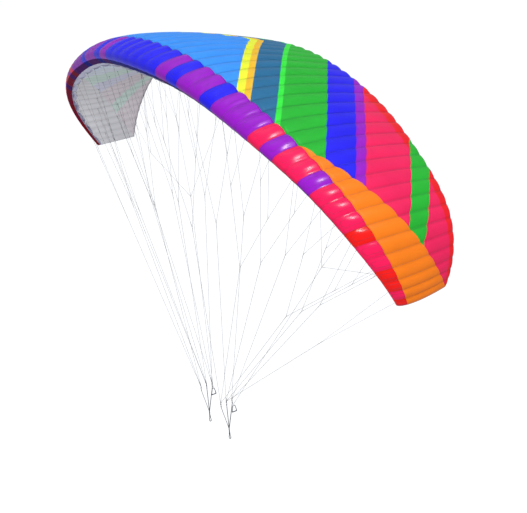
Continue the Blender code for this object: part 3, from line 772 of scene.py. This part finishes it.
risers = {
    "webbing": {"Width": 0.018, "Thickness": 0.0015, "Edge": 0.0005}, "x": 0.338, "pitch": 0.0016,
    "legs": {"A": -0.105, "B": 0.0, "C": 0.105},  # where their tops stand
    "trunk": (0.066, 0.202), "neck": 0.640,
    "barHeight": 0.6547, "barRoom": 0.0046, "barTurn": (215, -35),
    "loopHalf": 0.0138, "loopFloor": 0.012, "loopDepth": 0.0133,
    "loopTop": 0.046, "loopJoin": 0.064, "loopEnd": 0.112,
    "trunkHalf": 0.0056, "bendPoints": 15, "crease": 40,
    # bar tacks: how far off the middle their thread lies, lower and upper end
    "trunkTacks": ((0.0083, 0.070, 0.084), (0.0083, 0.094, 0.108), (0.0052, 0.184, 0.197)),
    "legTack": (0.0020, 0.614, 0.630), "tackHalf": 0.0066, "tackPitch": 0.0013,
    "thread": 0.0004,
}
links = {  # sizes of the bar's middle line, and radii of the bar and its nut
    "steel": {"Width": 0.030, "Height": 0.038, "Bar": 0.002, "Corner": 0.005, "Nut": 0.0034,
              "Nut Length": 0.012},
    "middle": 0.6737, "topBar": 0.6927, "knotFrom": 0.69395}
handles = {
    "x": 0.3493, "y": 0.125, "top": 0.600, "height": 0.125, "width": 0.105, "topWidth": 0.046,
    "web": 0.016, "side": 0.009, "bar": 0.005, "depth": 0.004, "rounding": 0.012,
    "softEdge": 0.0013}
# polyester sheathed aramid line: dark slate, matt, a little mottled by its braid
lineSheath = mottledMaterial("polyester sheathed line", "#1B222A", 0.75, "ShaderNodeTexNoise", {
    "Scale": 350.0, "Detail": 1.0}, (0.75, 1.25))[0]
hungTabs = []


def sailEnd(rib, station, side):
    # where a line meets its tab; the middle rib has one tab for both sides
    if rib or side > 0:
        hungTabs.append((side * float(rib), station))
    low = tabs["tape"]["Drop"] - tabs["overLine"]
    point = wingPoint(side * float(rib), turnOf(-station), low)[0]
    return point + (side * lines["middleShift"] * (rib == 0), 0, 0)


def middleOf(group):
    if isinstance(group, np.ndarray):
        return group
    return np.mean([middleOf(part) for part in group], axis=0)


def addLines(paths, girths, foot, start, group, level, eye=()):
    # one line from its start to the sail, or to the knot where it parts again
    radii, sewn, thick = lines["radii"], lines["sewn"], lines["sewnGirth"]
    atSail, taper = isinstance(group, np.ndarray), lines["sewnTaper"] * sewn
    stop = group if atSail else foot + (middleOf(group) - foot) * lines["knots"][level]
    size = radii[-1 if atSail else level] / radii[0]
    length = float(np.linalg.norm(stop - start))
    share = np.array((0.0, taper, sewn, length - sewn, length - taper, length)) / length
    paths.append([*eye, *(start + (stop - start) * s for s in share)])
    girths.append([size * g for g in [thick] * (len(eye) + 2) + [1.0, 1.0] + [thick] * 2])
    for part in () if atSail else group:
        addLines(paths, girths, foot, stop, part, level + 1)


def arcOf(turns, points):
    spin = np.radians(np.linspace(*turns, points))
    return np.stack([np.cos(spin), np.sin(spin)], -1)


def eyePath(bar, across):
    # a sewn eye round a bar, that closes at the throat above it
    ring = lines["eye"] * arcOf(lines["eyeTurn"], lines["eyePoints"])
    flat = np.vstack([(0.0, lines["throat"]), ring])
    return bar + flat[:, :1] * across + flat[:, 1:] * (0.0, 0.0, 1.0)


def cascade(row, word, bar, foot, groups, side, across):
    paths, girths, name = [], [], "lines%s%s" % (row, word)
    for k, group in enumerate(groups):
        shift = side * (k - (len(groups) - 1) / 2) * lines["pitch"]
        own = np.array(bar) + (shift, 0.0, 0.0)
        throat = own + (0.0, 0.0, lines["throat"])
        addLines(paths, girths, foot, throat, group, 0, eyePath(own, across))
    total = sum(np.linalg.norm(np.diff(path, axis=0), axis=1).sum() for path in paths)
    print(name, len(paths), "lines,", round(float(total), 2), "metres")
    cordPiece(name, paths, lines["radii"][0], lineSheath, "line", lines["sides"],
              girths, ["lines_%s_%s" % (row.lower(), word.lower())])


for side, word in ((-1, "Left"), (1, "Right")):
    for row, station in lines["rows"].items():
        tops = [[sailEnd(rib, station, side) for rib in fan] for fan in lines["fans"]]
        groups = [[fan[:2], fan[2:]] for fan in tops]
        if row == "B":
            groups.append([sailEnd(rib, lines["tipStation"], side) for rib in lines["tipRibs"]])
        x, y = side * risers["x"], risers["legs"][row]
        cascade(row, word, (x, y, links["topBar"]), (x, y, links["knotFrom"]),
                groups, side, (0.0, 1.0, 0.0))
    pairs = [[sailEnd(rib, lines["brakeStation"], side) for rib in pair]
             for pair in lines["brakePairs"]]
    bar = (side * handles["x"], handles["y"], handles["top"] - handles["bar"] / 2)
    cascade("Brake", word, bar, bar, [pairs], side, (1.0, 0.0, 0.0))

# woven polyester webbing: near black, ribbed across every 1.6 mm
webbing, add, shader, weave = mottledMaterial(
    "woven polyester webbing", "#2B3138", 0.8, "ShaderNodeTexWave",
    {"bands_direction": "Z", "Scale": 196.0, "Distortion": 0.6, "Detail": 1.0}, (0.8, 1.15))
bump = add("ShaderNodeBump", {"Strength": 0.6, "Distance": 0.0003, "Height": weave})
add(shader, {"Normal": bump})


def tabTree():
    # a small loop of tape under the sail at each point
    add, given = startTree("lineTabs", {**tabs["tape"], "Material": None})
    ring = add("GeometryNodeCurvePrimitiveCircle", {"Resolution": 16, "Radius": 0.5})
    size = add("ShaderNodeCombineXYZ", {"Z": 1.0, "X": given["Loop"], "Y": given["Drop"]})
    loop = add("GeometryNodeTransform", {"Geometry": ring, "Scale": size})
    tape = add("GeometryNodeCurvePrimitiveQuadrilateral", {
        "Width": given["Tape"], "Height": given["Width"]})
    band = add("GeometryNodeCurveToMesh", {"Curve": loop, "Profile Curve": tape})
    turn = {}
    for axis, label in (("Y", "outward"), ("Z", "chordWay")):
        way = add("GeometryNodeInputNamedAttribute", {"data_type": "FLOAT_VECTOR", "Name": label})
        turned = add("FunctionNodeAlignRotationToVector", {"axis": axis, "Vector": way, **turn})
        turn = {"Rotation": turned}
    copies = add("GeometryNodeInstanceOnPoints", {
        "Points": given["Geometry"], "Instance": band, **turn})
    return endTree(add, copies, given["Material"], False)


tabRibs, tabStations = np.array(hungTabs).T
tabDrop = tabs["tape"]["Drop"] / 2 - tabs["sewnIn"]
tabPoint, tabOut = wingPoint(tabRibs, turnOf(-tabStations), tabDrop)
mesh = newMesh("tabPoints", tabPoint.tolist())
setPointValues(mesh, "outward", tabOut)
setPointValues(mesh, "chordWay", ribFrame(tabRibs)[1])
fit(grow("lineTabs", mesh, tabTree(), {"Material": webbing}), "webbing")
print("lines hung from", len(hungTabs), "tabs")


# risers: webbing sewn as a hang loop, a trunk and three legs
def legPath(number, top):
    # up through the trunk's six layers, over the link's bar and down again
    pitch, neck, (low, high) = risers["pitch"], risers["neck"], risers["trunk"]
    bend = risers["barRoom"] * arcOf(risers["barTurn"], risers["bendPoints"])
    over = (top, risers["barHeight"]) + bend
    up, down = (2 * number - 2.5) * pitch, (2 * number - 1.5) * pitch
    return np.vstack([(up, low), (up, high), (top - pitch / 2, neck), over,
                      (top + pitch / 2, neck), (down, high), (down, low)])


def hangPath(shift):
    half, trunk = risers["loopHalf"] + shift, risers["trunkHalf"] + shift
    low = arcOf((180, 360), risers["bendPoints"]) * (half, risers["loopDepth"] + shift)
    low = low + (0.0, risers["loopFloor"])
    side = [(trunk, risers["loopEnd"]), (trunk, risers["loopJoin"]), (half, risers["loopTop"])]
    return np.vstack([[(-y, z) for y, z in side], low, side[::-1]])


def barTack(top, face, low, high):
    # thread back and forth across the webbing, on both its faces; top is where the leg leads
    z = np.linspace(low, high, int((high - low) / risers["tackPitch"]))
    x = np.where(np.arange(len(z)) % 2, risers["tackHalf"], -risers["tackHalf"])
    foot = risers["trunk"][1]
    middle = top * (z - foot) / (risers["neck"] - foot)
    return [np.stack([x, middle + way * face, z], -1) for way in (-1, 1)]


def linkTree():
    # a quick link: a round bar bent to a rounded oblong, with a hexagonal barrel nut
    add, given = startTree("quickLink", {**links["steel"], "Material": None})
    shape = add("GeometryNodeCurvePrimitiveQuadrilateral", {
        "Width": given["Width"], "Height": given["Height"]})
    bent = add("GeometryNodeFilletCurve", {
        **polyFillet, "Count": 6, "Curve": shape, "Radius": given["Corner"]})
    section = add("GeometryNodeCurvePrimitiveCircle", {"Resolution": 12, "Radius": given["Bar"]})
    bar = add("GeometryNodeCurveToMesh", {"Curve": bent, "Profile Curve": section})
    smooth = add("GeometryNodeSetShadeSmooth", {0: bar})
    standing = add("GeometryNodeTransform", {"Rotation": (math.pi / 2, 0, 0), "Geometry": smooth})
    nut = add("GeometryNodeMeshCylinder", {
        "Vertices": 6, "Radius": given["Nut"], "Depth": given["Nut Length"]})
    halfWide = add("ShaderNodeMath", {"operation": "MULTIPLY", 1: 0.5, 0: given["Width"]})
    aside = add("ShaderNodeCombineXYZ", {"X": halfWide})
    placed = add("GeometryNodeTransform", {"Geometry": nut, "Translation": aside})
    both = add("GeometryNodeJoinGeometry", {0: standing})
    add(both, {0: placed})
    return endTree(add, both, given["Material"], False)


linkSteel = startMaterial("polished stainless steel", "#C9CDD2", 0.22, {"Metallic": 1.0})[0]
webRule = sweepTree("webbingAlongPaths", {**risers["webbing"], "Material": None})
linkRule = linkTree()
handleRule = fillTree("handleFill", {"Rounding": handles["rounding"]})
handleCloth = webbing.copy()
handleCloth.name = "handle webbing"


def makeRiser(side, word):
    standing = Matrix.Translation((side * risers["x"], 0, 0))
    legs = risers["legs"].values()
    bands = [legPath(k, top) for k, top in enumerate(legs)]
    bands += [hangPath(0.0), hangPath(risers["pitch"])]
    mesh = pathMesh("riserPaths", [[(0.0, *place) for place in band] for band in bands])
    riser = grow("riser" + word, mesh, webRule, {"Material": webbing})
    riser.data.transform(standing)
    riser.data.set_sharp_from_angle(angle=math.radians(risers["crease"]))
    fit(riser, "webbing", "riser_" + word.lower(), "riser_legs_" + word.lower())
    tacks = [(0.0, *tack) for tack in risers["trunkTacks"]]
    tacks += [(top, *risers["legTack"]) for top in legs]
    stitches = cordPiece("riserTacks" + word, [path for tack in tacks for path in barTack(*tack)],
                         risers["thread"], hemTape, "webbing", sides=5)
    stitches.data.transform(standing)


def makeLink(side, word, row, y):
    base = newMesh("linkBase", [])
    link = grow("link%s%s" % (row, word), base, linkRule, {"Material": linkSteel})
    turned = Matrix.Rotation(0 if side > 0 else math.pi, 4, "Z")
    link.data.transform(Matrix.Translation((side * risers["x"], y, links["middle"])) @ turned)
    fit(link, "steel", "maillon_%s_%s" % (row.lower(), word.lower()))


def makeHandle(side, word):
    # soft webbing folded to a ring, that narrows toward its line
    wide, narrow = handles["width"] / 2, handles["topWidth"] / 2
    web, tall = handles["web"], handles["height"]
    outer = [(wide, -tall), (narrow, 0.0)]
    inner = [(wide - web, web - tall), (narrow - handles["side"], -handles["bar"])]
    rings = [half + [(-y, z) for y, z in half[::-1]] for half in (outer, inner)]
    flat = ringMesh("handleRings", rings)
    handle = grow("brakeHandle" + word, flat, handleRule, {"Material": handleCloth})
    handle.data.transform(Matrix((
        (0, 0, 1, side * handles["x"]), (1, 0, 0, handles["y"]), (0, 1, 0, handles["top"]),
        (0, 0, 0, 1))))
    skin = handle.modifiers.new("webbing", "SOLIDIFY")
    skin.thickness, skin.offset = handles["depth"], 0.0
    soft = handle.modifiers.new("softEdge", "BEVEL")
    soft.width, soft.segments = handles["softEdge"], 3
    fit(handle, "handle", "brake_handle_" + word.lower())


for side, word in ((-1, "Left"), (1, "Right")):
    makeRiser(side, word)
    for row, y in risers["legs"].items():
        makeLink(side, word, row, y)
    makeHandle(side, word)
print("risers, links and handles made")

# camera, floor and light
view = {
    "place": (13.5664, -6.6603, 9.5257), "look": (-0.82281, 0.39969, -0.40401),
    "roll": -0.1084, "lens": 71.56, "shift": (0.121, 0.0376), "reach": 600.0}
camera = bpy.data.cameras.new("studioCamera")
camera.lens, camera.clip_end = view["lens"], view["reach"]
camera.shift_x, camera.shift_y = view["shift"]
cameraObject = linkObject("studioCamera", camera)
aimed = Vector(view["look"]).to_track_quat("-Z", "Y").to_matrix().to_4x4()
rolled = aimed @ Matrix.Rotation(view["roll"], 4, "Z")
cameraObject.matrix_world = Matrix.Translation(view["place"]) @ rolled
bpy.context.scene.camera = cameraObject

studio = {
    "floorHeight": -3.0, "coveRadius": 240.0, "coveBend": 60.0, "coveTop": 320.0,
    "coveSides": 96, "bendRows": 13, "cove": "#5E6063", "glow": "#F6F7F9", "glowStrength": 1.03,
    "dome": (0.40, 0.46), "distance": 40.0, "aim": (0, 0.4, 5.5),  # of the lamps
    # azimuth and elevation in degrees, width in metres, power in watts, its use
    "lights": {
        "softKey": (105.0, 62.0, 7.0, 5600.0, "shade"),
        "roundGlint": (105.0, 60.0, 6.0, 15000.0, "gloss"),
        "softTop": (-100.0, 72.0, 24.0, 5000.0, "shade"),
        "softFront": (56.0, 3.0, 10.0, 7500.0, "shade")}}
# a plain pale floor that curves up into a wall all round
bend = arcOf((-90, 0), studio["bendRows"]) * studio["coveBend"]
bend = bend + (studio["coveRadius"], studio["floorHeight"] + studio["coveBend"])
bend = np.vstack([bend, (bend[-1, 0], studio["coveTop"])])
spin = np.linspace(0, math.tau, studio["coveSides"], endpoint=False)
points = [(reach * math.cos(turn), reach * math.sin(turn), high)
          for turn in spin for reach, high in bend]
wall = [[corner % len(points) for corner in face] for face in gridOf(len(spin) + 1, len(bend))]
floor = list(range(0, len(points), len(bend)))
coveMesh = newMesh("studioCove", points, faces=[floor, *wall])
coveMesh.polygons.foreach_set("use_smooth", [False] + [True] * len(wall))
# matt paint with a glow, that stays off the wing
coveMesh.materials.append(startMaterial("matt cove paint", studio["cove"], 1.0, {
    "Specular IOR Level": 0.0, "Emission Color": linearColour(studio["glow"]),
    "Emission Strength": studio["glowStrength"]})[0])
cove = linkObject("studioCove", coveMesh)
cove.visible_diffuse = cove.visible_glossy = cove.visible_shadow = False

world = bpy.data.worlds.new("studioDome")
bpy.context.scene.world = world
world.use_nodes = True
add = partial(addNode, world.node_tree)
direction = add("ShaderNodeTexCoord").outputs["Generated"]
height = add("ShaderNodeSeparateXYZ", {0: direction}).outputs["Z"]
strength = add("ShaderNodeMapRange", {
    "To Min": studio["dome"][0], "To Max": studio["dome"][1], "Value": height})
add(world.node_tree.nodes["Background"], {"Color": (1.0, 1.0, 1.0, 1.0), "Strength": strength})
bpy.context.scene.view_settings.view_transform = "Standard"

for name, (azimuth, elevation, width, power, gives) in studio["lights"].items():
    lamp = bpy.data.lights.new(name, "AREA")
    lamp.shape, lamp.size, lamp.energy = "DISK", width, power
    azimuth, elevation = math.radians(azimuth), math.radians(elevation)
    level = math.cos(elevation)
    toLamp = Vector((math.sin(azimuth) * level, -math.cos(azimuth) * level, math.sin(elevation)))
    lampObject = linkObject(name, lamp)
    lampObject.visible_camera = False
    lampObject.visible_diffuse, lampObject.visible_glossy = gives == "shade", gives == "gloss"
    lampObject.location = Vector(studio["aim"]) + toLamp * studio["distance"]
    lampObject.rotation_euler = toLamp.to_track_quat("Z", "Y").to_euler()
print("camera, floor and light set")
